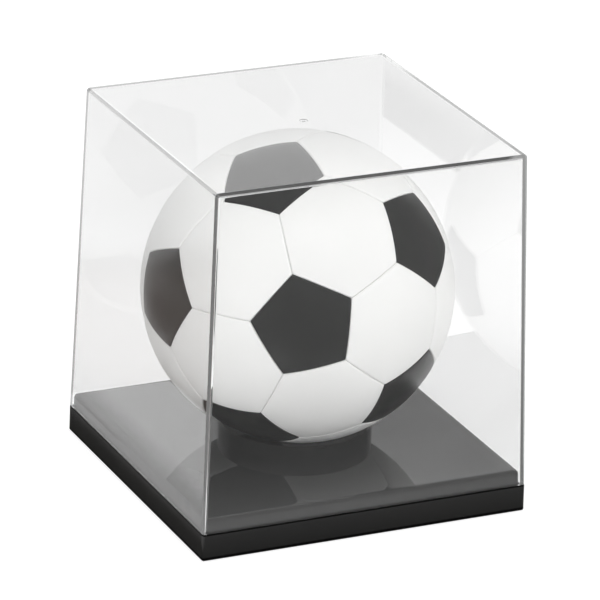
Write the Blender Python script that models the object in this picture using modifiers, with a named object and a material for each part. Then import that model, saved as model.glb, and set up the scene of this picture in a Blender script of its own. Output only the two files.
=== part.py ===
"""A display case for a soccer ball: a black moulded base with a ring stand screwed to it, a clear cover that
lifts off, and the stitched ball that it shows.

The frame has its origin on the shelf under the middle of the base, with +Z up. Lengths are in metres.
"""

import math

import bmesh
import bpy
from mathutils import Euler, Matrix

# Clearances and overruns
CLEARANCE = 0.0003  # between pieces that touch
SIDE_CLEARANCE = 0.0004  # between the cover and the step that locates it
OVERRUN = 0.0020  # how far a cutter runs past what it cuts
MERGE = CLEARANCE / 6  # points nearer than this are one

# The ball
BALL_RADIUS = 0.1100
PANEL_THICKNESS = 0.0028
PANEL_EDGE_CHAMFER = 0.0014
SEAM_GAP = 0.0003
BLADDER_WALL = 0.0009
BLADDER_PAD_RADIUS = 0.0085  # the flat round the valve's hole
BALL_TURN_DEGREES = (-0.3, -24.1, 35.8)
PANEL_CORNER_SHARES = (1 / 3, 2 / 3)  # where the panels' corners lie along an icosahedron's edges
VALVE_STEM_RADIUS = 0.0032
VALVE_SINK = 0.0006
VALVE_FLANGE_RADIUS = 0.0065
VALVE_FLANGE_THICKNESS = 0.0016
VALVE_TAIL_RADIUS = 0.0022
VALVE_TAIL_LENGTH = 0.0080
NEEDLE_HOLE_RADIUS = 0.0009
NEEDLE_HOLE_DEPTH = 0.0100

# Room round the ball
BALL_FLOOR_GAP = 0.0004  # the ball hangs in the ring just clear of the floor
SIDE_ROOM = 0.0071  # from the ball to the cover's walls, at the ball's middle
HEAD_ROOM = 0.0116

# The cover
COVER_WALL = 0.0030
COVER_ROOF = 0.0030
COVER_DRAFT_DEGREES = 1.61
COVER_CORNER_ROUND = 0.0027
COVER_TOP_ROUND = 0.0025
COVER_INNER_ROUND = 0.0010
COVER_RIM_ROUND = 0.0004
GATE_DIMPLE_RADIUS = 0.0030
GATE_DIMPLE_DEPTH = 0.0005
GATE_STUB_RADIUS = 0.0012
GATE_STUB_HEIGHT = 0.0003

# The base
SKIRT_HEIGHT = 0.0190
SKIRT_DRAFT_DEGREES = 0.5
SKIRT_CORNER_ROUND = 0.0022
SKIRT_EDGE_ROUND = 0.0005
STEP_HEIGHT = 0.0105
STEP_CORNER_ROUND = 0.0032
STEP_EDGE_ROUND = 0.0028
BASE_WALL = 0.0025
BASE_INNER_ROUND = 0.0015
RIB_THICKNESS = 0.0016
RIB_DEPTH = 0.0060
RIBS_EACH_WAY = 3

# The ring stand
RING_HEIGHT = 0.0109
RING_RIM_WIDTH = 0.0068
RING_SEAT_WIDTH = 0.0040
RING_WALL = 0.0022
RING_EDGE_ROUND = 0.0007
RING_BOSS_RADIUS = 0.0037

# The screws that hold the ring down
SCREW_COUNT = 4
SCREW_RADIUS = 0.0015
SCREW_BITE = 0.0052
SCREW_TIP_ROOM = 0.0010
SCREW_HEAD_RADIUS = 0.0030
SCREW_HEAD_HEIGHT = 0.0022
SCREW_SLOT_WIDTH = 0.0007
SCREW_SLOT_LENGTH = 0.0034
SCREW_SLOT_DEPTH = 0.0012
SCREW_PAD_RADIUS = 0.0050
SCREW_PAD_HEIGHT = 0.0020

# The rubber feet
FOOT_PROUD = 0.0005  # how far a foot lifts the skirt off the shelf
FOOT_RADIUS = 0.0065
FOOT_THICKNESS = 0.0022
FOOT_EDGE_ROUND = 0.0006
FOOT_STEM_RADIUS = 0.0022
FOOT_STEM_LENGTH = 0.0070
FOOT_BOSS_WALL = 0.0022
FOOT_INSET = 0.0110

# Facets and shading
SHARP_DEGREES = 32.0
PANEL_SHARP_DEGREES = 25.0
CORNER_SEGMENTS = 4
EDGE_SEGMENTS = 2
WIDE_EDGE_SEGMENTS = 3
ROUND_LIMIT_SHARE = 0.95  # the most that an edge's round takes of the corner's round
PANEL_CUTS = 3
RING_STEPS = 48
BLADDER_STEPS = 14
BLADDER_ARC_POINTS = 8
BOSS_STEPS = 12
SMALL_STEPS = 12
SEAT_POINTS = 2

# Heights and half widths that follow from the sizes above
COVER_SLOPE = math.tan(math.radians(COVER_DRAFT_DEGREES))
SKIRT_SLOPE = math.tan(math.radians(SKIRT_DRAFT_DEGREES))
LEDGE_Z = FOOT_PROUD + SKIRT_HEIGHT
FLOOR_Z = LEDGE_Z + STEP_HEIGHT
BALL_Z = FLOOR_Z + BALL_FLOOR_GAP + BALL_RADIUS
COVER_LOW_Z = LEDGE_Z + CLEARANCE
COVER_TOP_Z = BALL_Z + BALL_RADIUS + HEAD_ROOM + COVER_ROOF
RING_LOW_Z = FLOOR_Z + CLEARANCE
RING_TOP_Z = RING_LOW_Z + RING_HEIGHT
SCREW_SEAT_Z = FLOOR_Z - BASE_WALL - SCREW_PAD_HEIGHT


def cover_half(z):
    """Half the cover's outer width at height z."""
    return BALL_RADIUS + SIDE_ROOM + COVER_WALL + (BALL_Z - z) * COVER_SLOPE


def step_half(z):
    """Half the width, at height z, of the step that the cover drops over."""
    return cover_half(z) - COVER_WALL - SIDE_CLEARANCE


def skirt_half(z):
    """Half the skirt's width at height z. Its top edge is flush with the cover."""
    return cover_half(COVER_LOW_Z) + (LEDGE_Z - z) * SKIRT_SLOPE


def seat_height(radius):
    """Height at which a ball that is larger by the clearance meets this radius, from below."""
    reach = BALL_RADIUS + CLEARANCE
    return BALL_Z - math.sqrt(reach**2 - radius**2)


RING_SEAT_RADIUS = math.sqrt((BALL_RADIUS + CLEARANCE) ** 2 - (BALL_Z - RING_TOP_Z) ** 2)
RING_OUTER_RADIUS = RING_SEAT_RADIUS + RING_RIM_WIDTH
RING_INNER_RADIUS = RING_SEAT_RADIUS - RING_SEAT_WIDTH
RING_CHANNEL_RADIUS = (RING_INNER_RADIUS + RING_OUTER_RADIUS) / 2
FOOT_PLACE = skirt_half(FOOT_PROUD) - BASE_WALL - FOOT_INSET


# Scene and materials
def clear_scene():
    """Removes every object, so that the file starts empty."""
    for thing in list(bpy.data.objects):
        bpy.data.objects.remove(thing)


def make_collection(name):
    """A new collection in the scene."""
    collection = bpy.data.collections.new(name)
    bpy.context.scene.collection.children.link(collection)
    return collection


def make_material(name, colour, roughness, metallic=0.0, transmission=0.0):
    """A Principled material of one colour."""
    material = bpy.data.materials.new(name)
    material.use_nodes = True
    shader = material.node_tree.nodes["Principled BSDF"]
    shader.inputs["Base Color"].default_value = (*colour, 1.0)
    shader.inputs["Roughness"].default_value = roughness
    shader.inputs["Metallic"].default_value = metallic
    shader.inputs["Transmission Weight"].default_value = transmission
    return material


clear_scene()
PARTS = make_collection("soccer_ball_display_case")
CUTTERS = make_collection("cutters")
GLOSS_BLACK = make_material("gloss_black_plastic", (0.018, 0.018, 0.018), 0.12)
CLEAR_PLASTIC = make_material("clear_plastic", (0.97, 0.98, 0.98), 0.03, transmission=1.0)
BLACK_COVERING = make_material("black_covering", (0.030, 0.030, 0.029), 0.42)
WHITE_COVERING = make_material("white_covering", (0.83, 0.83, 0.82), 0.40)
BLADDER_RUBBER = make_material("bladder_rubber", (0.05, 0.05, 0.05), 0.60)
FOOT_RUBBER = make_material("foot_rubber", (0.03, 0.03, 0.03), 0.80)
ZINC_STEEL = make_material("zinc_steel", (0.60, 0.61, 0.62), 0.30, metallic=1.0)


# Building blocks
def add_object(name, mesh, material, parent=None):
    """Links a new object with this mesh to the part, or to the cutters when it has no material."""
    thing = bpy.data.objects.new(name, mesh)
    if material is None:
        CUTTERS.objects.link(thing)
        thing.hide_render = True
        thing.display_type = "WIRE"
    else:
        PARTS.objects.link(thing)
        if not mesh.materials:
            mesh.materials.append(material)
    thing.parent = parent
    return thing


def finish_mesh(name, shape):
    """Turns a bmesh into a mesh with its faces pointing out."""
    bmesh.ops.recalc_face_normals(shape, faces=shape.faces)
    mesh = bpy.data.meshes.new(name)
    shape.to_mesh(mesh)
    shape.free()
    return mesh


def shade(thing, angle_degrees=SHARP_DEGREES):
    """Shades an object smooth up to this angle between faces."""
    thing.data.shade_smooth()
    thing.data.set_sharp_from_angle(angle=math.radians(angle_degrees))


def tapered_block(
    low_half, high_half, low_z, high_z, corner, low_round, high_round, edge_segments=EDGE_SEGMENTS
):
    """A square block from a cube, tapered between two heights, with its corners and end edges rounded."""
    shape = bmesh.new()
    bmesh.ops.create_cube(shape, size=1)
    for vertex in shape.verts:
        half, z = (high_half, high_z) if vertex.co.z > 0 else (low_half, low_z)
        vertex.co = (math.copysign(half, vertex.co.x), math.copysign(half, vertex.co.y), z)
    upright = [edge for edge in shape.edges if edge.verts[0].co.z != edge.verts[1].co.z]
    if corner:
        bmesh.ops.bevel(
            shape, geom=upright, offset=corner, segments=CORNER_SEGMENTS, profile=0.5, affect="EDGES"
        )
        limit = corner * ROUND_LIMIT_SHARE
        low_round, high_round = min(low_round, limit), min(high_round, limit)
    for z, radius in ((low_z, low_round), (high_z, high_round)):
        rim = [edge for edge in shape.edges if all(abs(v.co.z - z) < MERGE for v in edge.verts)]
        if radius:
            bmesh.ops.bevel(
                shape, geom=rim, offset=radius, segments=edge_segments, profile=0.5, affect="EDGES"
            )
    return shape


def cylinder(radius, low_z, high_z, steps=BOSS_STEPS, place=(0, 0)):
    """An upright cylinder from a primitive."""
    shape = bmesh.new()
    bmesh.ops.create_cone(
        shape, cap_ends=True, segments=steps, radius1=radius, radius2=radius, depth=high_z - low_z
    )
    middle = (low_z + high_z) / 2
    bmesh.ops.translate(shape, verts=shape.verts, vec=(*place, middle))
    return shape


def box(size, middle):
    """A box from a primitive."""
    shape = bmesh.new()
    bmesh.ops.create_cube(shape, size=1)
    bmesh.ops.scale(shape, verts=shape.verts, vec=size)
    bmesh.ops.translate(shape, verts=shape.verts, vec=middle)
    return shape


def cutter(name, shape):
    """An object that only cuts or joins."""
    return add_object(name, finish_mesh(name, shape), None)


def boolean(target, tool, operation):
    """Cuts the tool out of the target, or joins it on."""
    modifier = target.modifiers.new(tool.name, "BOOLEAN")
    modifier.operation = operation
    modifier.solver = "EXACT"
    modifier.object = tool


def turned(name, profile, steps, material, closed=False):
    """A turned object from a profile of (radius, height) points, which runs down its outer side."""
    shape = bmesh.new()
    points = [shape.verts.new((radius, 0, z)) for radius, z in profile]
    for start, end in zip(points, points[1:]):
        shape.edges.new((start, end))
    if closed:
        shape.edges.new((points[-1], points[0]))
    mesh = bpy.data.meshes.new(name)
    shape.to_mesh(mesh)
    shape.free()
    thing = add_object(name, mesh, material)
    screw = thing.modifiers.new("turn", "SCREW")
    screw.steps = screw.render_steps = steps
    screw.use_merge_vertices = True
    screw.merge_threshold = MERGE
    screw.use_smooth_shade = True
    return thing


def rounded_corner(radius_at, z_at, radius):
    """Points of a quarter round at a profile's outer top corner, running down."""
    points = []
    for step in range(EDGE_SEGMENTS + 1):
        angle = math.pi / 2 * step / EDGE_SEGMENTS
        points.append((radius_at - radius * (1 - math.sin(angle)), z_at - radius * (1 - math.cos(angle))))
    return points


# The base
def base_tray():
    """The moulded base: a skirt, the step that the cover drops over, and a hollow ribbed underside."""
    skirt = tapered_block(
        skirt_half(FOOT_PROUD), skirt_half(LEDGE_Z), FOOT_PROUD, LEDGE_Z, SKIRT_CORNER_ROUND,
        SKIRT_EDGE_ROUND, SKIRT_EDGE_ROUND,
    )
    tray = add_object("base_tray", finish_mesh("base_tray", skirt), GLOSS_BLACK)
    root = LEDGE_Z - BASE_WALL / 2
    step = tapered_block(
        step_half(root), step_half(FLOOR_Z), root, FLOOR_Z, STEP_CORNER_ROUND, 0, STEP_EDGE_ROUND,
        WIDE_EDGE_SEGMENTS,
    )
    boolean(tray, cutter("step", step), "UNION")
    hollow_base(tray)
    add_ribs(tray)
    for index, (x, y) in enumerate(foot_places()):
        foot_boss(tray, index, x, y)
    for index, (x, y) in enumerate(screw_places()):
        screw_pad(tray, index, x, y)
    shade(tray)


def hollow_base(tray):
    """Cuts the underside away to an even wall, in two blocks that follow the skirt and the step."""
    low, shelf = FOOT_PROUD - OVERRUN, LEDGE_Z - BASE_WALL
    wide = tapered_block(
        skirt_half(low) - BASE_WALL, skirt_half(shelf) - BASE_WALL, low, shelf, BASE_INNER_ROUND, 0, 0
    )
    boolean(tray, cutter("skirt_hollow", wide), "DIFFERENCE")
    roof, start = FLOOR_Z - BASE_WALL, shelf - BASE_WALL / 2
    narrow = tapered_block(
        step_half(start) - BASE_WALL, step_half(roof) - BASE_WALL, start, roof, BASE_INNER_ROUND, 0, 0
    )
    boolean(tray, cutter("step_hollow", narrow), "DIFFERENCE")


def add_ribs(tray):
    """Joins a grid of ribs and one round rib to the underside of the floor."""
    roof = FLOOR_Z - BASE_WALL
    top, low = roof + BASE_WALL / 2, roof - RIB_DEPTH
    middle, depth = (top + low) / 2, top - low
    width = 2 * (step_half(roof) - BASE_WALL)
    length = width + BASE_WALL
    for index in range(RIBS_EACH_WAY):
        place = width * ((index + 1) / (RIBS_EACH_WAY + 1) - 0.5)
        along_x = box((length, RIB_THICKNESS, depth), (0, place, middle))
        boolean(tray, cutter(f"rib_x_{index}", along_x), "UNION")
        along_y = box((RIB_THICKNESS, length, depth), (place, 0, middle))
        boolean(tray, cutter(f"rib_y_{index}", along_y), "UNION")
    inner = RING_OUTER_RADIUS
    outer = inner + RIB_THICKNESS
    profile = [(outer, top), (outer, low), (inner, low), (inner, top)]
    boolean(tray, turned("round_rib", profile, RING_STEPS, None, closed=True), "UNION")


def foot_places():
    """The middles of the four feet."""
    return [(x * FOOT_PLACE, y * FOOT_PLACE) for x, y in ((-1, -1), (1, -1), (1, 1), (-1, 1))]


def foot_boss(tray, index, x, y):
    """A tube from the floor down to a foot, with two webs out to the walls, bored for the foot's stem."""
    roof = FLOOR_Z - BASE_WALL
    low = FOOT_THICKNESS + CLEARANCE
    bore = FOOT_STEM_RADIUS + CLEARANCE
    top = roof + BASE_WALL / 2
    tube = cylinder(bore + FOOT_BOSS_WALL, low, top, place=(x, y))
    boolean(tray, cutter(f"foot_boss_{index}", tube), "UNION")
    web_low = low + FOOT_BOSS_WALL
    reach = skirt_half(web_low) - BASE_WALL / 2 - FOOT_PLACE
    height, middle = LEDGE_Z - BASE_WALL / 2 - web_low, (LEDGE_Z - BASE_WALL / 2 + web_low) / 2
    side_x, side_y = math.copysign(1, x), math.copysign(1, y)
    web = box((reach, RIB_THICKNESS, height), (x + side_x * reach / 2, y, middle))
    boolean(tray, cutter(f"foot_web_x_{index}", web), "UNION")
    web = box((RIB_THICKNESS, reach, height), (x, y + side_y * reach / 2, middle))
    boolean(tray, cutter(f"foot_web_y_{index}", web), "UNION")
    hole_top = low + FOOT_STEM_LENGTH + CLEARANCE
    hole = cylinder(bore, low - OVERRUN, hole_top, place=(x, y))
    boolean(tray, cutter(f"foot_bore_{index}", hole), "DIFFERENCE")


def screw_places():
    """The middles of the screws, midway along each quarter of the ring."""
    places = []
    for index in range(SCREW_COUNT):
        angle = 2 * math.pi * (index + 0.5) / SCREW_COUNT
        places.append((RING_CHANNEL_RADIUS * math.cos(angle), RING_CHANNEL_RADIUS * math.sin(angle)))
    return places


def screw_pad(tray, index, x, y):
    """A pad under the floor for a screw's head, bored for its shank."""
    roof = FLOOR_Z - BASE_WALL
    pad = cylinder(SCREW_PAD_RADIUS, SCREW_SEAT_Z, roof + BASE_WALL / 2, place=(x, y))
    boolean(tray, cutter(f"screw_pad_{index}", pad), "UNION")
    bore = cylinder(SCREW_RADIUS + CLEARANCE, SCREW_SEAT_Z - OVERRUN, FLOOR_Z + OVERRUN, place=(x, y))
    boolean(tray, cutter(f"screw_bore_{index}", bore), "DIFFERENCE")


# The ring stand
def ball_ring():
    """The ring that the ball sits in: a moulded channel, open below, with a dished seat on its top."""
    profile = rounded_corner(RING_OUTER_RADIUS, RING_TOP_Z, RING_EDGE_ROUND)
    channel_out, channel_in = RING_OUTER_RADIUS - RING_WALL, RING_INNER_RADIUS + RING_WALL
    channel_roof = seat_height(RING_INNER_RADIUS) - RING_WALL
    profile += [(RING_OUTER_RADIUS, RING_LOW_Z), (channel_out, RING_LOW_Z), (channel_out, channel_roof)]
    profile += [(channel_in, channel_roof), (channel_in, RING_LOW_Z), (RING_INNER_RADIUS, RING_LOW_Z)]
    for step in range(SEAT_POINTS + 1):
        radius = RING_INNER_RADIUS + RING_SEAT_WIDTH * step / SEAT_POINTS
        profile.append((radius, seat_height(radius)))
    ring = turned("ball_ring", profile, RING_STEPS, GLOSS_BLACK, closed=True)
    for index, (x, y) in enumerate(screw_places()):
        boss = cylinder(RING_BOSS_RADIUS, RING_LOW_Z, channel_roof + RING_WALL / 2, place=(x, y))
        boolean(ring, cutter(f"ring_boss_{index}", boss), "UNION")
        hole_top = RING_LOW_Z + SCREW_BITE + SCREW_TIP_ROOM
        hole = cylinder(SCREW_RADIUS + CLEARANCE, RING_LOW_Z - OVERRUN, hole_top, place=(x, y))
        boolean(ring, cutter(f"ring_bore_{index}", hole), "DIFFERENCE")


def ring_screws():
    """The self-tapping screws, which go up through the floor into the ring's bosses."""
    head_top = SCREW_SEAT_Z - CLEARANCE
    head_low = head_top - SCREW_HEAD_HEIGHT
    tip = RING_LOW_Z + SCREW_BITE
    crown = SCREW_HEAD_HEIGHT / 2
    profile = [(0, tip), (SCREW_RADIUS, tip - SCREW_RADIUS), (SCREW_RADIUS, head_top)]
    profile += [(SCREW_HEAD_RADIUS, head_top), (SCREW_HEAD_RADIUS, head_low + crown)]
    profile += [(SCREW_HEAD_RADIUS - crown, head_low), (0, head_low)]
    slot_depth = SCREW_SLOT_DEPTH + OVERRUN
    slot_middle = (0, 0, head_low + SCREW_SLOT_DEPTH - slot_depth / 2)
    slots = [
        ("slot_x", (SCREW_SLOT_LENGTH, SCREW_SLOT_WIDTH, slot_depth)),
        ("slot_y", (SCREW_SLOT_WIDTH, SCREW_SLOT_LENGTH, slot_depth)),
    ]
    for index, (x, y) in enumerate(screw_places(), start=1):
        screw = turned(f"ring_screw_{index}", profile, SMALL_STEPS, ZINC_STEEL)
        for name, size in slots:
            slot = cutter(f"{name}_{index}", box(size, slot_middle))
            slot.location = (x, y, 0)
            boolean(screw, slot, "DIFFERENCE")
        screw.location = (x, y, 0)


def rubber_feet():
    """The push-in feet: a round pad on a stem with a tapered tip."""
    top = FOOT_THICKNESS + FOOT_STEM_LENGTH
    stem = FOOT_STEM_RADIUS
    profile = [(0, top), (stem / 2, top), (stem, top - stem), (stem, FOOT_THICKNESS)]
    profile += [(FOOT_RADIUS, FOOT_THICKNESS), (FOOT_RADIUS, FOOT_EDGE_ROUND)]
    profile += [(FOOT_RADIUS - FOOT_EDGE_ROUND, 0), (0, 0)]
    for index, (x, y) in enumerate(foot_places(), start=1):
        foot = turned(f"rubber_foot_{index}", profile, SMALL_STEPS, FOOT_RUBBER)
        foot.location = (x, y, 0)


# The cover
def clear_cover():
    """The clear cover: one moulded shell with a draft, rounded edges and the mark of its gate on the roof."""
    outer = tapered_block(
        cover_half(COVER_LOW_Z), cover_half(COVER_TOP_Z), COVER_LOW_Z, COVER_TOP_Z, COVER_CORNER_ROUND,
        COVER_RIM_ROUND, COVER_TOP_ROUND, WIDE_EDGE_SEGMENTS,
    )
    cover = add_object("clear_cover", finish_mesh("clear_cover", outer), CLEAR_PLASTIC)
    low, roof = COVER_LOW_Z - OVERRUN, COVER_TOP_Z - COVER_ROOF
    inner = tapered_block(
        cover_half(low) - COVER_WALL, cover_half(roof) - COVER_WALL, low, roof, COVER_INNER_ROUND,
        0, COVER_INNER_ROUND,
    )
    boolean(cover, cutter("cover_hollow", inner), "DIFFERENCE")
    dimple = cylinder(GATE_DIMPLE_RADIUS, COVER_TOP_Z - GATE_DIMPLE_DEPTH, COVER_TOP_Z + OVERRUN)
    boolean(cover, cutter("gate_dimple", dimple), "DIFFERENCE")
    stub_low = COVER_TOP_Z - COVER_ROOF / 2
    stub_top = COVER_TOP_Z - GATE_DIMPLE_DEPTH + GATE_STUB_HEIGHT
    boolean(cover, cutter("gate_stub", cylinder(GATE_STUB_RADIUS, stub_low, stub_top)), "UNION")
    shade(cover)


# The ball
def ball_frame():
    """The empty at the ball's middle that it turns about, and one below it with the ball's own attitude."""
    turn = bpy.data.objects.new("ball_turn", None)
    PARTS.objects.link(turn)
    turn.location = (0, 0, BALL_Z)
    attitude = bpy.data.objects.new("ball_attitude", None)
    PARTS.objects.link(attitude)
    attitude.parent = turn
    attitude.rotation_euler = Euler([math.radians(angle) for angle in BALL_TURN_DEGREES])
    return attitude


def panel_corners():
    """Directions of the centres and corners of the 12 five-sided and 20 six-sided panels."""
    solid = bmesh.new()
    bmesh.ops.create_icosphere(solid, subdivisions=1, radius=1)
    near_share = PANEL_CORNER_SHARES[0]
    black, white = [], []
    for vertex in solid.verts:
        corners = [vertex.co.lerp(edge.other_vert(vertex).co, near_share) for edge in vertex.link_edges]
        black.append((vertex.co.normalized(), corners))
    for face in solid.faces:
        ends = [(edge.verts[0].co, edge.verts[1].co) for edge in face.edges]
        corners = [start.lerp(end, share) for start, end in ends for share in PANEL_CORNER_SHARES]
        white.append((face.calc_center_median().normalized(), corners))
    solid.free()
    return black, white


def panel_rotation(centre, corners):
    """The rotation that takes a panel modelled about +Z, with a corner towards +Y, to its place."""
    along_y = (corners[0] - corners[0].dot(centre) * centre).normalized()
    return Matrix((along_y.cross(centre), along_y, centre)).transposed()


def panel_mesh(name, sides, centre, corners):
    """The patch of the ball's skin inside a ring of corners, thickened inwards, its outer edge chamfered."""
    reach = (corners[0] - corners[0].dot(centre) * centre).length
    rise = corners[0].dot(centre)
    size = BALL_RADIUS / math.hypot(reach, rise)
    inset = SEAM_GAP / 2 / math.cos(math.pi / sides)
    shape = bmesh.new()
    bmesh.ops.create_circle(shape, cap_ends=True, cap_tris=True, segments=sides, radius=reach * size - inset)
    bmesh.ops.subdivide_edges(shape, edges=shape.edges, cuts=PANEL_CUTS, use_grid_fill=True)
    for vertex in shape.verts:
        vertex.co.z = rise * size
        vertex.co = vertex.co.normalized() * BALL_RADIUS
    skin = list(shape.faces)
    inner = bmesh.ops.extrude_face_region(shape, geom=skin, use_keep_orig=True)["geom"]
    for vertex in (part for part in inner if isinstance(part, bmesh.types.BMVert)):
        vertex.co = vertex.co.normalized() * (BALL_RADIUS - PANEL_THICKNESS)
    bmesh.ops.recalc_face_normals(shape, faces=shape.faces)
    limit = BALL_RADIUS - PANEL_THICKNESS / 2
    edge = [
        e for e in shape.edges
        if all(v.co.length > limit for v in e.verts) and e.calc_face_angle(0) > math.pi / 4
    ]
    bmesh.ops.bevel(shape, geom=edge, offset=PANEL_EDGE_CHAMFER, segments=1, profile=0.5, affect="EDGES")
    return finish_mesh(name, shape)


def ball_panels(attitude):
    """Places the black and white panels, and returns the white one that holds the valve."""
    black, white = panel_corners()
    turn = attitude.rotation_euler.to_matrix()
    valve_index = max(range(len(white)), key=lambda index: (turn @ white[index][0]).y)
    valve_panel = None
    for word, panels, sides, material in (
        ("black", black, 5, BLACK_COVERING),
        ("white", white, 6, WHITE_COVERING),
    ):
        mesh = panel_mesh(f"{word}_panel", sides, *panels[0])
        for index, (centre, corners) in enumerate(panels):
            own_mesh = mesh.copy() if word == "white" and index == valve_index else mesh
            panel = add_object(f"{word}_panel_{index + 1:02d}", own_mesh, material, attitude)
            panel.rotation_euler = panel_rotation(centre, corners).to_euler()
            shade(panel, PANEL_SHARP_DEGREES)
            if own_mesh is not mesh:
                valve_panel = panel
    return valve_panel


def bladder_and_valve(attitude, panel):
    """The bladder, with a hole for the valve, and the valve, which shows in its panel's middle."""
    hole_radius = VALVE_STEM_RADIUS + CLEARANCE
    bore = cylinder(hole_radius, BALL_RADIUS - PANEL_THICKNESS - OVERRUN, BALL_RADIUS + OVERRUN)
    hole = cutter("valve_hole", bore)
    hole.parent = panel
    boolean(panel, hole, "DIFFERENCE")
    outer = BALL_RADIUS - PANEL_THICKNESS - 2 * CLEARANCE
    inner = outer - BLADDER_WALL
    profile = bladder_side(inner, hole_radius)[::-1] + bladder_side(outer, hole_radius)
    bladder = turned("bladder", profile, BLADDER_STEPS, BLADDER_RUBBER)
    bladder.parent = attitude
    bladder.rotation_euler = panel.rotation_euler
    top = BALL_RADIUS - VALVE_SINK
    under = math.sqrt(inner**2 - BLADDER_PAD_RADIUS**2) - CLEARANCE
    flange_low = under - VALVE_FLANGE_THICKNESS
    tail = flange_low - VALVE_TAIL_LENGTH
    profile = [(0, top - NEEDLE_HOLE_DEPTH), (NEEDLE_HOLE_RADIUS, top - NEEDLE_HOLE_DEPTH)]
    profile += [(NEEDLE_HOLE_RADIUS, top), (VALVE_STEM_RADIUS, top), (VALVE_STEM_RADIUS, under)]
    profile += [(VALVE_FLANGE_RADIUS, under), (VALVE_FLANGE_RADIUS, flange_low)]
    profile += [(VALVE_TAIL_RADIUS, flange_low), (VALVE_TAIL_RADIUS, tail), (0, tail)]
    valve = turned("valve", profile, SMALL_STEPS, BLADDER_RUBBER)
    valve.parent = attitude
    valve.rotation_euler = panel.rotation_euler


def bladder_side(radius, hole_radius):
    """Profile points of one side of the bladder: the flat round the valve's hole, then down to the axis."""
    start = math.asin(BLADDER_PAD_RADIUS / radius)
    points = [(hole_radius, radius * math.cos(start))]
    for step in range(BLADDER_ARC_POINTS):
        angle = start + (math.pi - start) * step / BLADDER_ARC_POINTS
        points.append((radius * math.sin(angle), radius * math.cos(angle)))
    points.append((0, -radius))
    return points


base_tray()
ball_ring()
ring_screws()
rubber_feet()
clear_cover()
ATTITUDE = ball_frame()
VALVE_PANEL = ball_panels(ATTITUDE)
bladder_and_valve(ATTITUDE, VALVE_PANEL)
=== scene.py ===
"""The looks of a soccer ball display case: a clear cover over a black base, with the ball in its ring stand.

Everything is in metres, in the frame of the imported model: the origin on the shelf, +Z up.
The front is at -Y and the left at -X.
An edge is a pair of places or values between which something fades in or out.
"""

import math

import bmesh
import bpy
from mathutils import Euler, Matrix, Vector

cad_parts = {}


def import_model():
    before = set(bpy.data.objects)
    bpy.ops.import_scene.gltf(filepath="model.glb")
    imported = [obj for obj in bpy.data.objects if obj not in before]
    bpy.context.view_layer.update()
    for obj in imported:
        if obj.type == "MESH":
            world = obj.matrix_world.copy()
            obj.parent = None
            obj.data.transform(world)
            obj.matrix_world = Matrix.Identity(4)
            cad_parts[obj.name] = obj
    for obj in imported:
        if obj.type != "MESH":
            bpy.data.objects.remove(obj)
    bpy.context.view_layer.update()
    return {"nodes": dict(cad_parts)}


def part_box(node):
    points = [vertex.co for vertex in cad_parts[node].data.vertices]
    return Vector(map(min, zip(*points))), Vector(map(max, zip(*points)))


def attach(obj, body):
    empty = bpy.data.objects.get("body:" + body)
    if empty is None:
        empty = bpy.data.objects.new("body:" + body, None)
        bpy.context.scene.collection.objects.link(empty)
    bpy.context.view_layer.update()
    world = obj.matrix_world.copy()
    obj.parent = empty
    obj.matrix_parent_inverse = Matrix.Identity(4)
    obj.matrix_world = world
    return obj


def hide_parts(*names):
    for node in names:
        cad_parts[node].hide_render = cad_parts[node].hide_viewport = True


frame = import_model()

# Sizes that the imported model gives
COVER_LOW, COVER_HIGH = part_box("clear_cover")
TRAY_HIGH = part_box("base_tray")[1]

# The cover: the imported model's own sizes, then how finely its shapes are made
COVER_WALL = 0.0030
COVER_ROOF = 0.0030
COVER_DRAFT_DEGREES = 1.61
COVER_CORNER_ROUND = 0.0027
COVER_TOP_ROUND = 0.0025
COVER_INNER_ROUND = 0.0010
COVER_RIM_ROUND = 0.0004
GATE_RADIUS = 0.0030
GATE_DEPTH = 0.0005
GATE_STUB_RADIUS = 0.0012
GATE_STUB_HEIGHT = 0.0003
GATE_STEPS = 48
OVERRUN = 0.0020
ROUND_SEGMENTS = 8
ROUND_LIMIT_SHARE = 0.95
SAME_HEIGHT = 1e-6
SHARP_DEGREES = 35.0

# The base
STEP_HEIGHT = 0.0105
LEDGE_Z = TRAY_HIGH.z - STEP_HEIGHT
CORNERS = 4

# The ball
BALL_RADIUS = 0.1100
BALL_FLOOR_GAP = 0.0004
BALL_TURN_DEGREES = (-0.3, -24.1, 35.8)
BALL_MIDDLE = Vector((0, 0, TRAY_HIGH.z + BALL_FLOOR_GAP + BALL_RADIUS))
PANEL_CORNER_SHARES = (1 / 3, 2 / 3)
PANEL_THICKNESS = 0.0028
SEAM_HALF_GAP = 0.00005
SEAM_ROLL = 0.0010
SEAM_SWELL = 0.0006
SEAM_SWELL_REACH = 0.0070
PANEL_CORNER_ROUND = 0.0010
PANEL_SIDE_POINTS = 14
PANEL_CORNER_POINTS = 3
PANEL_ROLL_ROWS = 7
PANEL_BODY_ROWS = 12
PANEL_ROW_POWER = 1.35
PANEL_ROUNDING_RATE = 1.6
PANEL_SHARP_DEGREES = 60.0
VALVE_HOLE_RADIUS = 0.0035
VALVE_LIP = 0.0008

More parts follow.
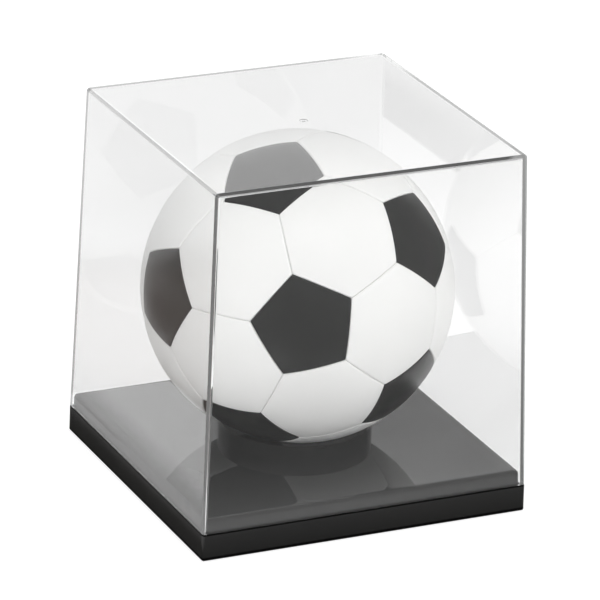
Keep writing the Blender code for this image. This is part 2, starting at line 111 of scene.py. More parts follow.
# The black plastic, in bands by height: polished above the ledge, with painted shade as a dark line there
# and at the foot
POLISH_EDGE = (LEDGE_Z - 0.0002, LEDGE_Z + 0.0001)
LEDGE_SHADE_LOW_EDGE = (LEDGE_Z - 0.0010, LEDGE_Z - 0.0006)
LEDGE_SHADE_HIGH_EDGE = (LEDGE_Z + 0.0001, LEDGE_Z + 0.0003)
FOOT_SHADE_EDGE = (0.0024, 0.0031)
BLACK_PLASTIC_TONES = ((0.012, 0.012, 0.012), (0.016, 0.016, 0.015))
PAINTED_SHADE_TONE = (0.003, 0.003, 0.003)
BLACK_PLASTIC_IOR = 1.5
PLAIN_SPECULAR = 0.5
PAINTED_SHADE_SPECULAR = 0.08
SATIN_ROUGHNESS = (0.20, 0.26)
GLOSS_ROUGHNESS = (0.03, 0.06)
WIPE_ROUGHNESS = (0.0, 0.02)

# The part of a noise's range that is used
NOISE_SPAN = (0.3, 0.7)
GLOSS_NOISE_SPAN = (0.35, 0.7)
WIPE_NOISE_SPAN = (0.4, 0.8)

# The clear plastic, with painted shade: a grey tint on the round at the top of its left wall
CLEAR_IOR = 1.49
CLEAR_ABSORPTION = {"Color": (0.80, 0.82, 0.81, 1), "Density": 10.0}
PAINTED_SHADE_ROUND_HEIGHTS = (COVER_HIGH.z - 0.0022, COVER_HIGH.z + 0.0010)
PAINTED_SHADE_ROUND_FADE = 0.0006
PAINTED_SHADE_ROUND_EDGE = (-0.1153, -0.1143)
PAINTED_SHADE_ROUND_TONE = (0.52, 0.52, 0.52)

# How often a ray has turned, told apart half way between two counts
ANY_TURN = 0.5
TRAPPED_TURNS = 2.5

# Painted light: rays trapped in the cover's walls end on a glow of a set brightness, by place
FRONT_LIGHT_EDGE = (-0.075, -0.065)
LEFT_WALL_EDGE = (-0.113, -0.108)
RIGHT_WALL_EDGE = (0.108, 0.113)
BACK_CORNER_EDGE = (0.085, 0.113)
WALL_HEIGHTS = (0.02, 0.25)
WALL_DEPTHS = (-0.11, 0.11)
RIGHT_WALL_GLOW = (0.04, 0.25)
LEFT_TO_FRONT_GLOW = (0.19, 0.11)
BACK_GLOW = (0.45, 0.53)
BACK_CORNER_GLOW = 0.45

# The other finishes
COVERING_IOR = 1.5
PEBBLE_SIZE = 0.0011
PEBBLE_EDGE = (0.0, 0.7)
COVERING_ROUGHNESS_SWING = 0.04
BLACK_COVERING_TONES = ((0.024, 0.024, 0.0235), (0.030, 0.030, 0.029))
WHITE_COVERING_TONES = ((0.82, 0.82, 0.81), (0.85, 0.85, 0.84))
RUBBER_LIGHTER_TIMES = 1.5
RUBBER_ROUGHNESS_SWING = 0.08
ZINC_TONES = ((0.55, 0.56, 0.58), (0.70, 0.71, 0.72))
ZINC_ROUGHNESS = (0.22, 0.38)

# The camera, fitted to the photograph
CAMERA_TURN_DEGREES = -24.9718
CAMERA_RISE_DEGREES = 21.5721
CAMERA_ROLL_DEGREES = 1.8108
CAMERA_DISTANCE = 3.4425192
CAMERA_ASIDE = 0.0052090
CAMERA_UP = 0.1211817
CAMERA_LENS_MM = 288.0894
CAMERA_SENSOR_MM = 36.0
CAMERA_FAR_END = 50.0

# The floor and the world
FLOOR_SIDE = 9.0
FLOOR_SHADE = 0.45
FLOOR_GLOW = 0.72
FLOOR_PAINTED_SHADOW_EDGE = (TRAY_HIGH.x - 0.0014, TRAY_HIGH.x - 0.0006)
FLOOR_FAR_EDGE = (0.35, 0.65)
FLOOR_FAR_GLOW = (0.80, 0.55)
FLOOR_RIGHT_EDGE = (0.05, 0.15)
FLOOR_RIGHT_GLOW = (1.0, 0.86)
WORLD_FILL = 0.80

# The floor card, with (y, brightness) stops for its front and for its left part away from the case
CARD_HEIGHT = 0.0004
CARD_REACH = 3.5
CARD_CASE_EDGE = (-0.1242, -0.1236)
CARD_RIGHT_EDGE = (0.50, 0.60)
CARD_FRONT_EDGE = (-0.150, -0.124)
CARD_NEAR_EDGE = (-0.20, -0.16)
CARD_WARM_EDGE = (0.40, 0.50)
CARD_FRONT_STOPS = (
    (-0.60, 0.22), (-0.42, 0.22), (-0.30, 0.36), (-0.24, 0.52), (-0.180, 0.76), (-0.1700, 0.74),
    (-0.1685, 0.26), (-0.15, 0.24), (-0.12, 0.34),
)
CARD_FAR_STOPS = ((0.0, 0.16), (0.43, 0.16), (0.47, 0.46), (0.57, 0.62), (0.68, 0.95))
CARD_WARM_TONE = (0.185, 0.155, 0.142)
CARD_NEAR_TONE = (0.055, 0.052, 0.050)
STRIP_SIDES = (-0.235, -0.1436)
STRIP_SIDE_FADE = 0.0005
STRIP_ENDS = (-0.32, 0.1745)
STRIP_END_FADE = 0.004
STRIP_SLANT = 0.10
STRIP_DIM_EDGE = (-0.180, -0.160)
STRIP_DIM_SHARES = (1.0, 0.64)

# The dome, with (height, brightness) stops, and its openings as a direction and an edge in its cosine
DOME_RADIUS = 1.8
DOME_STEPS = 48
DOME_FOOT_Z = -0.01
DOME_STOPS = ((0.0, 0.22), (0.8, 0.22), (1.3, 0.30), (DOME_RADIUS, 0.30))
DOME_OPENINGS = (((0.406, 0.875, 0.259), (0.78, 0.88)), ((-0.42, 0.87, 0.26), (0.94, 0.97)))

# The lamps, as a name, a place and a power in watts
LAMP_AIM = (0, 0, 0.12)
LAMP_SIDE = 1.4
KEY_LAMP = ("key", (-0.2, -1.6, 2.3), 13.6)
FILL_LAMPS = (("left_fill", (-1.85, -1.2, 0.35), 12.5), ("right_fill", (1.75, -1.35, 0.35), 14.0))


class Nodes:
    """A node tree, with short calls that add nodes and link them."""

    def __init__(self, owner):
        owner.use_nodes = True
        self.tree = owner.node_tree
        self.tree.nodes.clear()

    def add(self, kind, inputs=None, **settings):
        """Adds a node. An input is a value, or a socket to link."""
        node = self.tree.nodes.new(kind)
        for name, value in settings.items():
            setattr(node, name, value)
        for key, value in (inputs or {}).items():
            if isinstance(value, bpy.types.NodeSocket):
                self.tree.links.new(value, node.inputs[key])
            else:
                node.inputs[key].default_value = value
        return node

    def math(self, operation, first, second=0.0):
        """Combines two numbers, or works on one."""
        return self.add("ShaderNodeMath", {0: first, 1: second}, operation=operation).outputs[0]

    def ramp(self, value, edge, ends=(0.0, 1.0)):
        """Maps an edge's range onto another one, clamped."""
        inputs = {
            "Value": value, "From Min": edge[0], "From Max": edge[1], "To Min": ends[0], "To Max": ends[1],
        }
        return self.add("ShaderNodeMapRange", inputs).outputs["Result"]

    def fall(self, value, edge):
        """1 below an edge, 0 above it."""
        return self.ramp(value, edge, (1.0, 0.0))

    def span(self, value, low, high, fade):
        """1 between two values, 0 outside them, with soft ends."""
        enter = self.ramp(value, (low, low + fade))
        leave = self.fall(value, (high - fade, high))
        return self.math("MULTIPLY", enter, leave)

    def blend(self, share, first, second):
        """Mixes two numbers."""
        return self.add("ShaderNodeMix", {0: share, 2: first, 3: second}).outputs[0]

    def mix(self, share, first, second):
        """Mixes two colours."""
        node = self.add("ShaderNodeMix", {"Factor": share}, data_type="RGBA")
        for index, value in ((6, first), (7, second)):
            if isinstance(value, bpy.types.NodeSocket):
                self.tree.links.new(value, node.inputs[index])
            else:
                node.inputs[index].default_value = (*value, 1)
        return node.outputs[2]

    def steps(self, value, stops):
        """A grey that follows (value, brightness) stops."""
        first, last = stops[0][0], stops[-1][0]
        ramp = self.add("ShaderNodeValToRGB", {0: self.ramp(value, (first, last))})
        elements = ramp.color_ramp.elements
        while len(elements) < len(stops):
            elements.new(0.5)
        for element, (place, grey) in zip(elements, stops):
            element.position = (place - first) / (last - first)
            element.color = (grey, grey, grey, 1)
        return ramp.outputs["Color"]

    def noise(self, place, scale, detail=2.0):
        inputs = {"Vector": place, "Scale": scale, "Detail": detail}
        return self.add("ShaderNodeTexNoise", inputs).outputs["Fac"]

    def bump(self, height, distance, strength=1.0, normal=None):
        inputs = {"Height": height, "Distance": distance, "Strength": strength}
        if normal:
            inputs["Normal"] = normal
        return self.add("ShaderNodeBump", inputs).outputs["Normal"]

    def place(self):
        """The place on the object."""
        return self.add("ShaderNodeTexCoord").outputs["Object"]

    def axes(self, place):
        """A place's x, y and z."""
        split = self.add("ShaderNodeSeparateXYZ", {0: place})
        return [split.outputs[axis] for axis in "XYZ"]

    def principled(self, inputs):
        return self.add("ShaderNodeBsdfPrincipled", inputs).outputs[0]

    def finish(self, surface, **others):
        """Links the surface, and a volume if there is one, to the material's output."""
        self.add("ShaderNodeOutputMaterial", {"Surface": surface, **others})


# Materials
def black_plastic():
    """Black moulded plastic: polished above the ledge, satin on the skirt and the underside.

    Painted shade makes it darkest in the gap under the cover's rim and along the skirt's foot, in colour and
    by a lower specular level.
    """
    material = bpy.data.materials.new("black_plastic")
    nodes = Nodes(material)
    place = nodes.place()
    height = nodes.axes(place)[2]
    polished = nodes.ramp(height, POLISH_EDGE)
    cloud = nodes.noise(place, scale=18.0, detail=4.0)
    wipe = nodes.noise(place, scale=160.0, detail=3.0)
    gloss = nodes.math(
        "ADD",
        nodes.ramp(cloud, GLOSS_NOISE_SPAN, GLOSS_ROUGHNESS),
        nodes.ramp(wipe, WIPE_NOISE_SPAN, WIPE_ROUGHNESS),
    )
    satin = nodes.ramp(cloud, NOISE_SPAN, SATIN_ROUGHNESS)
    # Painted shade: a dark band in the gap under the cover's rim and along the skirt's foot
    above = nodes.ramp(height, LEDGE_SHADE_LOW_EDGE)
    below = nodes.fall(height, LEDGE_SHADE_HIGH_EDGE)
    ledge_shade = nodes.math("MULTIPLY", above, below)
    painted_shade = nodes.math("MAXIMUM", ledge_shade, nodes.fall(height, FOOT_SHADE_EDGE))
    grain = nodes.noise(place, scale=2600.0, detail=1.0)
    peel = nodes.noise(place, scale=90.0, detail=1.0)
    satin_height = nodes.math("MULTIPLY", grain, nodes.math("SUBTRACT", 1.0, polished))
    normal = nodes.bump(satin_height, distance=0.00006, strength=0.5)
    normal = nodes.bump(peel, distance=0.00005, strength=0.25, normal=normal)
    shader = nodes.principled(
        {
            "Base Color": nodes.mix(painted_shade, nodes.mix(cloud, *BLACK_PLASTIC_TONES), PAINTED_SHADE_TONE),
            "Roughness": nodes.blend(polished, satin, gloss),
            "Normal": normal,
            "IOR": BLACK_PLASTIC_IOR,
            "Specular IOR Level": nodes.ramp(painted_shade, (0.0, 1.0), (PLAIN_SPECULAR, PAINTED_SHADE_SPECULAR)),
        }
    )
    nodes.finish(shader)
    return material


def painted_trapped_glow(nodes, place):
    """Painted light: how bright the glow is that a ray meets after many turns inside the walls, set by
    place: least at the front.
    """
    x, y, z = nodes.axes(place)
    right = nodes.math(
        "MULTIPLY", nodes.ramp(x, RIGHT_WALL_EDGE), nodes.ramp(z, WALL_HEIGHTS, RIGHT_WALL_GLOW)
    )
    near = nodes.math("ADD", right, nodes.ramp(x, LEFT_WALL_EDGE, LEFT_TO_FRONT_GLOW))
    corner = nodes.math("MULTIPLY", nodes.ramp(x, BACK_CORNER_EDGE), nodes.ramp(y, BACK_CORNER_EDGE))
    far = nodes.math(
        "ADD", nodes.ramp(y, WALL_DEPTHS, BACK_GLOW), nodes.math("MULTIPLY", corner, BACK_CORNER_GLOW)
    )
    return nodes.blend(nodes.fall(y, FRONT_LIGHT_EDGE), far, near)


def clear_plastic():
    """Clear moulded plastic with a faint flow ripple. Light that falls through it casts no dark shadow. It
    has painted shade, a grey tint on one top round, and painted light, a glow set by place that rays trapped
    in its walls end on.
    """
    material = bpy.data.materials.new("clear_plastic")
    nodes = Nodes(material)
    place = nodes.place()
    x, _, z = nodes.axes(place)
    # Painted shade: a grey tint on the round at the top of the left wall
    painted_shade_round = nodes.math(
        "MULTIPLY", nodes.span(z, *PAINTED_SHADE_ROUND_HEIGHTS, PAINTED_SHADE_ROUND_FADE), nodes.fall(x, PAINTED_SHADE_ROUND_EDGE)
    )
    ripple = nodes.noise(place, scale=9.0, detail=1.0)
    shader = nodes.principled(
        {
            "Base Color": nodes.mix(painted_shade_round, (1, 1, 1), PAINTED_SHADE_ROUND_TONE),
            "Roughness": 0.0,
            "IOR": CLEAR_IOR,
            "Transmission Weight": 1.0,
            "Normal": nodes.bump(ripple, distance=0.0002, strength=0.2),
        }
    )
    ray = nodes.add("ShaderNodeLightPath")
    # Painted light: after many turns in the walls a ray ends on a glow whose brightness is set by place
    trapped = nodes.math("GREATER_THAN", ray.outputs["Glossy Depth"], TRAPPED_TURNS)
    painted_glow = nodes.add("ShaderNodeEmission", {"Strength": painted_trapped_glow(nodes, place)})
    inside = nodes.add("ShaderNodeMixShader", {0: trapped, 1: shader, 2: painted_glow.outputs[0]})
    passing = nodes.add("ShaderNodeBsdfTransparent")
    mixed = nodes.add(
        "ShaderNodeMixShader", {0: ray.outputs["Is Shadow Ray"], 1: inside.outputs[0], 2: passing.outputs[0]}
    )
    absorb = nodes.add("ShaderNodeVolumeAbsorption", CLEAR_ABSORPTION)
    nodes.finish(mixed.outputs[0], Volume=absorb.outputs[0])
    return material


def covering(name, tones, roughness):
    """Synthetic leather: a fine pebble grain under a semi-gloss coat."""
    material = bpy.data.materials.new(name)
    nodes = Nodes(material)
    place = nodes.place()
    cloud = nodes.noise(place, scale=30.0, detail=3.0)
    cells_in = {"Vector": place, "Scale": 1 / PEBBLE_SIZE}
    cells = nodes.add("ShaderNodeTexVoronoi", cells_in, feature="SMOOTH_F1")
    pebble = nodes.fall(cells.outputs["Distance"], PEBBLE_EDGE)
    fine = nodes.noise(place, scale=2200.0, detail=2.0)
    normal = nodes.bump(pebble, distance=0.00010, strength=0.22)
    normal = nodes.bump(fine, distance=0.00004, strength=0.2, normal=normal)
    patches = nodes.noise(place, scale=60.0, detail=3.0)
    swing = (roughness - COVERING_ROUGHNESS_SWING, roughness + COVERING_ROUGHNESS_SWING)
    shader = nodes.principled(
        {
            "Base Color": nodes.mix(cloud, *tones),
            "Roughness": nodes.ramp(patches, NOISE_SPAN, swing),
            "Normal": normal,
            "IOR": COVERING_IOR,
        }
    )
    nodes.finish(shader)
    return material


def rubber(name, colour, roughness):
    """Moulded rubber with a dusty mottle."""
    material = bpy.data.materials.new(name)
    nodes = Nodes(material)
    place = nodes.place()
    mottle = nodes.noise(place, scale=400.0, detail=4.0)
    lighter = tuple(part * RUBBER_LIGHTER_TIMES for part in colour)
    swing = (roughness - RUBBER_ROUGHNESS_SWING, roughness + RUBBER_ROUGHNESS_SWING)
    shader = nodes.principled(
        {
            "Base Color": nodes.mix(mottle, colour, lighter),
            "Roughness": nodes.ramp(mottle, NOISE_SPAN, swing),
            "Normal": nodes.bump(mottle, distance=0.00008, strength=0.4),
        }
    )
    nodes.finish(shader)
    return material


def zinc_steel():
    """Zinc-plated steel with fine tool marks."""
    material = bpy.data.materials.new("zinc_steel")
    nodes = Nodes(material)
    place = nodes.place()
    marks = nodes.noise(place, scale=900.0, detail=3.0)
    shader = nodes.principled(
        {
            "Base Color": nodes.mix(marks, *ZINC_TONES),
            "Roughness": nodes.ramp(marks, NOISE_SPAN, ZINC_ROUGHNESS),
            "Normal": nodes.bump(marks, distance=0.00004, strength=0.3),
            "Metallic": 1.0,
        }
    )
    nodes.finish(shader)
    return material


PLASTIC = black_plastic()
CLEAR = clear_plastic()
BLACK = covering("black_covering", BLACK_COVERING_TONES, roughness=0.34)
WHITE = covering("white_covering", WHITE_COVERING_TONES, roughness=0.40)
BLADDER = rubber("bladder_rubber", (0.04, 0.04, 0.04), roughness=0.6)
FOOT = rubber("foot_rubber", (0.025, 0.025, 0.025), roughness=0.8)
ZINC = zinc_steel()


def shade(thing, sharp_degrees):
    """Shades an object smooth up to this angle between faces."""
    thing.data.shade_smooth()
    thing.data.set_sharp_from_angle(angle=math.radians(sharp_degrees))


def keep_flat(thing):
    """Shades large faces flat, so that only the rounds between them look curved."""
    even = thing.modifiers.new("flat_faces", "WEIGHTED_NORMAL")
    even.keep_sharp = True


def dress(node, material):
    """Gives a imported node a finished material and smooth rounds."""
    thing = frame["nodes"][node]
    thing.data.materials.clear()
    thing.data.materials.append(material)
    shade(thing, SHARP_DEGREES)
    keep_flat(thing)


# The cover
def tapered_block(low_half, high_half, low_z, high_z, corner, low_round, high_round):
    """A square block, tapered between two heights, with its corners and end edges rounded."""
    shape = bmesh.new()
    bmesh.ops.create_cube(shape, size=1)
    for vertex in shape.verts:
        half, z = (high_half, high_z) if vertex.co.z > 0 else (low_half, low_z)
        vertex.co = (math.copysign(half, vertex.co.x), math.copysign(half, vertex.co.y), z)
    upright = [edge for edge in shape.edges if edge.verts[0].co.z != edge.verts[1].co.z]
    bmesh.ops.bevel(
        shape, geom=upright, offset=corner, segments=ROUND_SEGMENTS, profile=0.5, affect="EDGES"
    )
    limit = corner * ROUND_LIMIT_SHARE
    low_round, high_round = min(low_round, limit), min(high_round, limit)
    for z, radius in ((low_z, low_round), (high_z, high_round)):
        rim = [edge for edge in shape.edges if all(abs(v.co.z - z) < SAME_HEIGHT for v in edge.verts)]
        if radius:
            bmesh.ops.bevel(
                shape, geom=rim, offset=radius, segments=ROUND_SEGMENTS, profile=0.5, affect="EDGES"
            )
    bmesh.ops.recalc_face_normals(shape, faces=shape.faces)
    return shape


def round_post(radius, low_z, high_z):
    """An upright cylinder on the cover's middle."""
    shape = bmesh.new()
    bmesh.ops.create_cone(
        shape, cap_ends=True, segments=GATE_STEPS, radius1=radius, radius2=radius, depth=high_z - low_z
    )
    bmesh.ops.translate(shape, verts=shape.verts, vec=(0, 0, (low_z + high_z) / 2))
    return shape


def new_object(name, shape):
    """Links an object made from a bmesh."""
    mesh = bpy.data.meshes.new(name)
    shape.to_mesh(mesh)
    shape.free()
    thing = bpy.data.objects.new(name, mesh)
    bpy.context.scene.collection.objects.link(thing)
    return thing


def apply_modifiers(thing):
    """Replaces an object's mesh by what its modifiers make of it."""
    graph = bpy.context.evaluated_depsgraph_get()
    mesh = bpy.data.meshes.new_from_object(thing.evaluated_get(graph))
    thing.modifiers.clear()
    thing.data = mesh


def cover_tools(half):
    """The objects that hollow the cover and shape its gate's mark, each with its Boolean operation."""
    low, high = COVER_LOW.z - OVERRUN, COVER_HIGH.z
    roof = high - COVER_ROOF
    hollow = tapered_block(
        half(low) - COVER_WALL, half(roof) - COVER_WALL, low, roof, COVER_INNER_ROUND, 0, COVER_INNER_ROUND
    )
    dimple = round_post(GATE_RADIUS, high - GATE_DEPTH, high + OVERRUN)
    stub = round_post(GATE_STUB_RADIUS, high - COVER_ROOF / 2, high - GATE_DEPTH + GATE_STUB_HEIGHT)
    return [
        (new_object("cover_hollow", hollow), "DIFFERENCE"),
        (new_object("gate_dimple", dimple), "DIFFERENCE"),
        (new_object("gate_stub", stub), "UNION"),
    ]


def cover_shell():
    """The clear cover: flat walls, true rounds at every edge, and the mark of its gate on the roof."""
    slope = math.tan(math.radians(COVER_DRAFT_DEGREES))
    low, high = COVER_LOW.z, COVER_HIGH.z

    def half(z):
        return COVER_HIGH.x - (z - low) * slope

    outer = tapered_block(
        half(low), half(high), low, high, COVER_CORNER_ROUND, COVER_RIM_ROUND, COVER_TOP_ROUND
    )
    cover = new_object("cover_shell", outer)
    tools = cover_tools(half)
    for tool, operation in tools:
        cut = cover.modifiers.new(tool.name, "BOOLEAN")
        cut.operation = operation
        cut.object = tool
    apply_modifiers(cover)
    for tool, _ in tools:
        bpy.data.objects.remove(tool)
    shade(cover, SHARP_DEGREES)
    keep_flat(cover)
    cover.data.materials.append(CLEAR)
    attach(cover, "cover")
    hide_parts("clear_cover")


# The ball
def panel_layout():
    """Number of sides, and directions of the centre and corners, of each panel of the unturned ball."""
    solid = bmesh.new()
    bmesh.ops.create_icosphere(solid, subdivisions=1, radius=1)
    near_share = PANEL_CORNER_SHARES[0]
    panels = []
    for vertex in solid.verts:
        corners = [vertex.co.lerp(edge.other_vert(vertex).co, near_share) for edge in vertex.link_edges]
        panels.append((5, vertex.co.normalized(), corners))
    for face in solid.faces:
        ends = [(edge.verts[0].co, edge.verts[1].co) for edge in face.edges]
        corners = [start.lerp(end, share) for start, end in ends for share in PANEL_CORNER_SHARES]
        panels.append((6, face.calc_center_median().normalized(), corners))
    solid.free()
    return panels


def outline_points(sides, apothem, corner_round):
    """Points round a regular polygon with rounded corners, a corner towards +Y, as (x, y)."""
    points = []
    reach = apothem / math.cos(math.pi / sides)
    inset = corner_round / math.cos(math.pi / sides)
    for side in range(sides):
        middle = math.pi / 2 + 2 * math.pi * side / sides
        centre = Vector((math.cos(middle), math.sin(middle))) * (reach - inset)
        for step in range(-PANEL_CORNER_POINTS, PANEL_CORNER_POINTS + 1):
            angle = middle + math.pi / sides * step / PANEL_CORNER_POINTS
            points.append(centre + Vector((math.cos(angle), math.sin(angle))) * corner_round)
        ahead = middle + 2 * math.pi / sides
        ahead_centre = Vector((math.cos(ahead), math.sin(ahead))) * (reach - inset)
        facing = middle + math.pi / sides
        out = Vector((math.cos(facing), math.sin(facing))) * corner_round
        for step in range(1, PANEL_SIDE_POINTS):
            points.append((centre + out).lerp(ahead_centre + out, step / PANEL_SIDE_POINTS))
    return points


def surface_drop(depth):
    """How far the skin lies below the ball's radius, at this distance in from the panel's edge."""
    swell = SEAM_SWELL * math.exp(-depth / SEAM_SWELL_REACH)
    if depth >= SEAM_ROLL:
        return swell
    rise = math.sqrt(SEAM_ROLL**2 - (SEAM_ROLL - depth) ** 2)
    return swell + SEAM_ROLL - rise


def ring_depths(apothem, last):
    """Distances in from a panel's edge of its rings of points: the roll's, then the body's to the last."""
    depths = []
    for row in range(PANEL_ROLL_ROWS + 1):
        depths.append(SEAM_ROLL * (1 - math.cos(math.pi / 2 * row / PANEL_ROLL_ROWS)))
    for row in range(1, PANEL_BODY_ROWS + 1):
        share = (row / PANEL_BODY_ROWS) ** PANEL_ROW_POWER
        depths.append(SEAM_ROLL + (apothem - SEAM_ROLL - last) * share)
    return depths


def skin_ring(edge, depth, apothem, plane):
    """A ring of points on the skin, this far in from the edge. It grows round towards the middle."""
    scale = (apothem - depth) / apothem
    roundness = max(0.0, 1 - scale * PANEL_ROUNDING_RATE)
    ring = []
    for x, y in edge:
        flat = Vector((x, y)) * scale
        circle = Vector((x, y)).normalized() * (apothem - depth)
        spot = flat.lerp(circle, roundness)
        direction = Vector((spot.x, spot.y, plane)).normalized()
        ring.append(direction * (BALL_RADIUS - surface_drop(depth)))
    return ring


def bridge(shape, low, high):
    """Joins two rings of as many vertices with a band of faces."""
    for index in range(len(low)):
        ahead = (index + 1) % len(low)
        shape.faces.new((low[index], low[ahead], high[ahead], high[index]))


def panel_shape(sides, centre, corners, hole):
    """A puffed panel about +Z: a crowned skin whose edges roll down into the seams, and a flat back."""
    rise = corners[0].dot(centre)
    reach = (corners[0] - rise * centre).length
    size = BALL_RADIUS / math.hypot(reach, rise)
    apothem = reach * size * math.cos(math.pi / sides) - SEAM_HALF_GAP
    plane = rise * size
    edge = outline_points(sides, apothem, PANEL_CORNER_ROUND)
    back = BALL_RADIUS - PANEL_THICKNESS
    last = hole if hole else apothem / PANEL_BODY_ROWS / 2
    rings = [[Vector((x, y, plane)).normalized() * back for x, y in edge]]
    rings += [skin_ring(edge, depth, apothem, plane) for depth in ring_depths(apothem, last)]
    if hole:
        inmost = rings[-1]
        rings.append([point.normalized() * (BALL_RADIUS - VALVE_LIP) for point in inmost])
        rings.append([point.normalized() * back for point in inmost])
    shape = bmesh.new()
    layers = [[shape.verts.new(point) for point in ring] for ring in rings]
    for low, high in zip(layers, layers[1:]):
        bridge(shape, low, high)
    if hole:
        bridge(shape, layers[-1], layers[0])
    else:
        shape.faces.new(layers[-1])
        shape.faces.new(list(reversed(layers[0])))
    bmesh.ops.recalc_face_normals(shape, faces=shape.faces)
    return shape


def nearest_node(word, direction):
    """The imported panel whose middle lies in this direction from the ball's middle."""
    best = None
    for name in frame["nodes"]:
        if name.startswith(f"{word}_panel_"):
            low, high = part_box(name)
            score = ((low + high) / 2 - BALL_MIDDLE).normalized().dot(direction)
            if best is None or score > best[0]:
                best = (score, name)
    return best[1]


def ball_panels():
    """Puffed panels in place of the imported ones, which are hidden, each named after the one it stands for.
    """
    attitude = Euler([math.radians(angle) for angle in BALL_TURN_DEGREES]).to_matrix()
    panels = panel_layout()
    white = [panel for panel in panels if panel[0] == 6]
    valve_centre = max(white, key=lambda panel: (attitude @ panel[1]).y)[1]
    for sides, centre, corners in panels:
        word, material = ("black", BLACK) if sides == 5 else ("white", WHITE)
        hole = VALVE_HOLE_RADIUS if centre == valve_centre else 0
        along_y = (corners[0] - corners[0].dot(centre) * centre).normalized()
        own = Matrix((along_y.cross(centre), along_y, centre)).transposed()
        place = Matrix.Translation(BALL_MIDDLE) @ (attitude @ own).to_4x4()
        node = nearest_node(word, attitude @ centre)
        panel = new_object(node.replace("panel", "cover_panel"), panel_shape(sides, centre, corners, hole))
        panel.data.transform(place)
        shade(panel, PANEL_SHARP_DEGREES)
        panel.data.materials.append(material)
        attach(panel, "ball")
        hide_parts(node)


# The stage
def sheet(name, half_side):
    """A flat square on the floor."""
    shape = bmesh.new()
    bmesh.ops.create_grid(shape, x_segments=1, y_segments=1, size=half_side)
    return new_object(name, shape)


def floor():
    """A white floor that keeps the case's shadow. Under the case itself it doesn't glow: a painted shadow
    that darkens the gap under the skirt.
    """
    plane = sheet("floor", FLOOR_SIDE / 2)
    material = bpy.data.materials.new("floor")
    nodes = Nodes(material)
    ray = nodes.add("ShaderNodeLightPath")
    x, y, _ = nodes.axes(nodes.place())
    reach = nodes.math("MAXIMUM", nodes.math("ABSOLUTE", x), nodes.math("ABSOLUTE", y))
    # Painted shadow: the glow fades out under the case
    clear = nodes.ramp(reach, FLOOR_PAINTED_SHADOW_EDGE)
    through = nodes.math("MAXIMUM", ray.outputs["Is Transmission Ray"], ray.outputs["Is Glossy Ray"])
    # Painted reflection: seen in reflections and through the cover, the floor's glow is set by place, dimmer
    # far behind and to the right
    through = nodes.math("MULTIPLY", through, nodes.ramp(y, FLOOR_FAR_EDGE, FLOOR_FAR_GLOW))
    through = nodes.math("MULTIPLY", through, nodes.ramp(x, FLOOR_RIGHT_EDGE, FLOOR_RIGHT_GLOW))
    seen = nodes.math("MULTIPLY", ray.outputs["Is Camera Ray"], FLOOR_GLOW)
    glow = nodes.math("MULTIPLY", nodes.math("MAXIMUM", through, seen), clear)
    matt = nodes.add("ShaderNodeBsdfDiffuse", {"Color": (FLOOR_SHADE, FLOOR_SHADE, FLOOR_SHADE, 1)})
    shine = nodes.add("ShaderNodeEmission", {"Color": (1, 1, 1, 1), "Strength": glow})
    both = nodes.add("ShaderNodeAddShader", {0: matt.outputs[0], 1: shine.outputs[0]})
    nodes.finish(both.outputs[0])
    plane.data.materials.append(material)


def world():
    """Even light from all round, white where it is seen."""
    studio = bpy.data.worlds.new("studio")
    bpy.context.scene.world = studio
    nodes = Nodes(studio)
    ray = nodes.add("ShaderNodeLightPath")
    seen = nodes.math("MAXIMUM", ray.outputs["Is Camera Ray"], ray.outputs["Is Transmission Ray"])
    seen = nodes.math("MAXIMUM", seen, ray.outputs["Is Glossy Ray"])
    strength = nodes.ramp(seen, (0.0, 1.0), (WORLD_FILL, 1.0))
    back = nodes.add("ShaderNodeBackground", {"Color": (1, 1, 1, 1), "Strength": strength})
    nodes.add("ShaderNodeOutputWorld", {"Surface": back.outputs[0]})


def stage_card(card, share, colour):
    """Sets a card up, by its share and its colour. Only mirrored light sees it: it glows in its colour, a
    painted reflection on the case, and casts no light or shadow on anything.
    """
    material = bpy.data.materials.new(card.name)
    nodes = Nodes(material)
    ray = nodes.add("ShaderNodeLightPath")
    mirrored = nodes.math("GREATER_THAN", ray.outputs["Glossy Depth"], ANY_TURN)
    direct = nodes.math("LESS_THAN", ray.outputs["Diffuse Depth"], ANY_TURN)
    seen = nodes.math("MULTIPLY", nodes.math("MULTIPLY", mirrored, direct), share(nodes))
    clear = nodes.add("ShaderNodeBsdfTransparent")
    tone = nodes.add("ShaderNodeEmission", {"Color": colour(nodes), "Strength": 1.0})
    mixed = nodes.add("ShaderNodeMixShader", {0: seen, 1: clear.outputs[0], 2: tone.outputs[0]})
    nodes.finish(mixed.outputs[0])
    card.data.materials.append(material)
    card.visible_camera = False
    card.visible_diffuse = False
    card.visible_shadow = False


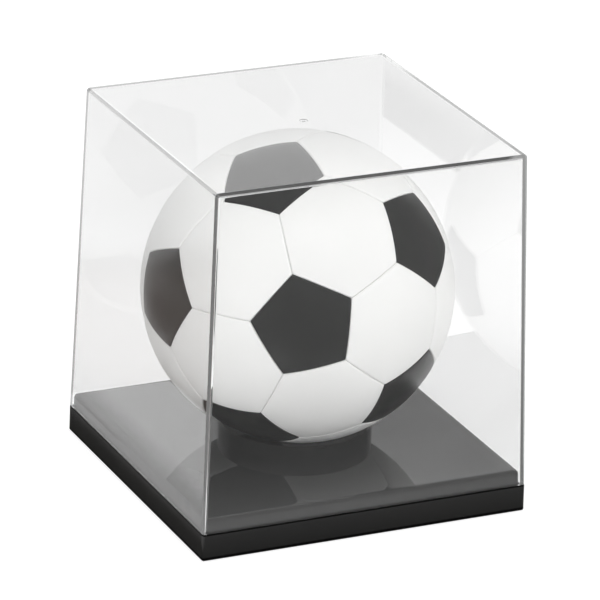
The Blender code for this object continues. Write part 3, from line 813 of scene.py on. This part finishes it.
def floor_card():
    """A dark card on the floor in front of the case, to its left and far to its right: a painted reflection
    that glows in set greys and a warm brown.

    A light strip is left open along the case's left side.
    """
    card = sheet("floor_card", CARD_REACH)
    card.location.z = CARD_HEIGHT

    def share(nodes):
        x, y, _ = nodes.axes(nodes.place())
        slanted = nodes.math("ADD", y, nodes.math("MULTIPLY", x, STRIP_SLANT))
        across = nodes.span(x, *STRIP_SIDES, STRIP_SIDE_FADE)
        along = nodes.span(slanted, *STRIP_ENDS, STRIP_END_FADE)
        strip = nodes.math("MULTIPLY", across, along)
        strip = nodes.math("MULTIPLY", strip, nodes.ramp(x, STRIP_DIM_EDGE, STRIP_DIM_SHARES))
        near = nodes.math("MAXIMUM", nodes.fall(y, CARD_CASE_EDGE), nodes.fall(x, CARD_CASE_EDGE))
        dark = nodes.math("MAXIMUM", near, nodes.ramp(x, CARD_RIGHT_EDGE))
        return nodes.math("MULTIPLY", dark, nodes.math("SUBTRACT", 1.0, strip))

    def colour(nodes):
        x, y, _ = nodes.axes(nodes.place())
        front = nodes.steps(y, CARD_FRONT_STOPS)
        far = nodes.steps(y, CARD_FAR_STOPS)
        far = nodes.mix(nodes.fall(y, CARD_WARM_EDGE), far, CARD_WARM_TONE)
        left = nodes.mix(nodes.ramp(x, CARD_NEAR_EDGE), far, CARD_NEAR_TONE)
        return nodes.mix(nodes.fall(y, CARD_FRONT_EDGE), left, front)

    stage_card(card, share, colour)


def dark_dome():
    """A dark dome round the stage, with two openings on the white background behind the case: a painted
    reflection of dark surroundings, glowing in set greys.
    """
    shape = bmesh.new()
    bmesh.ops.create_uvsphere(shape, u_segments=DOME_STEPS, v_segments=DOME_STEPS // 2, radius=DOME_RADIUS)
    under = [vertex for vertex in shape.verts if vertex.co.z < DOME_FOOT_Z]
    bmesh.ops.delete(shape, geom=under, context="VERTS")
    card = new_object("dark_dome", shape)

    def share(nodes):
        way = nodes.add("ShaderNodeVectorMath", {0: nodes.place()}, operation="NORMALIZE").outputs[0]
        closed = []
        for direction, edge in DOME_OPENINGS:
            toward = nodes.add("ShaderNodeVectorMath", {0: way, 1: direction}, operation="DOT_PRODUCT")
            closed.append(nodes.fall(toward.outputs["Value"], edge))
        return nodes.math("MULTIPLY", *closed)

    def colour(nodes):
        height = nodes.axes(nodes.place())[2]
        return nodes.steps(height, DOME_STOPS)

    stage_card(card, share, colour)


def soft_light(name, place, power):
    """A square area light that points at the case."""
    light = bpy.data.lights.new(name, "AREA")
    light.shape = "SQUARE"
    light.size = LAMP_SIDE
    light.energy = power
    lamp = bpy.data.objects.new(name, light)
    lamp.location = place
    lamp.rotation_euler = (Vector(LAMP_AIM) - Vector(place)).to_track_quat("-Z", "Y").to_euler()
    bpy.context.scene.collection.objects.link(lamp)
    return lamp


def lights():
    """The key lamp in front of the case, and a fill lamp on each side that no gloss mirrors."""
    soft_light(*KEY_LAMP)
    for fill in FILL_LAMPS:
        soft_light(*fill).visible_glossy = False


def camera():
    """The camera at the photograph's place, its axes built from the fitted angles."""
    turn, rise = math.radians(CAMERA_TURN_DEGREES), math.radians(CAMERA_RISE_DEGREES)
    roll = math.radians(CAMERA_ROLL_DEGREES)
    back = Vector((math.sin(turn) * math.cos(rise), -math.cos(turn) * math.cos(rise), math.sin(rise)))
    level = Vector((math.cos(turn), math.sin(turn), 0))
    upright = back.cross(level)
    right = level * math.cos(roll) + upright * math.sin(roll)
    up = upright * math.cos(roll) - level * math.sin(roll)
    view = bpy.data.cameras.new("camera")
    view.lens = CAMERA_LENS_MM
    view.sensor_width = CAMERA_SENSOR_MM
    view.clip_end = CAMERA_FAR_END
    eye = bpy.data.objects.new("camera", view)
    place = Matrix((right, up, back)).transposed().to_4x4()
    place.translation = back * CAMERA_DISTANCE + right * CAMERA_ASIDE + up * CAMERA_UP
    eye.matrix_world = place
    bpy.context.scene.collection.objects.link(eye)
    bpy.context.scene.camera = eye


camera()
floor()
world()
floor_card()
dark_dome()
lights()
bpy.context.scene.view_settings.view_transform = "Standard"

dress("base_tray", PLASTIC)
dress("ball_ring", PLASTIC)
for number in range(1, CORNERS + 1):
    dress(f"ring_screw_{number}", ZINC)
    dress(f"rubber_foot_{number}", FOOT)
dress("bladder", BLADDER)
dress("valve", BLADDER)
cover_shell()
ball_panels()
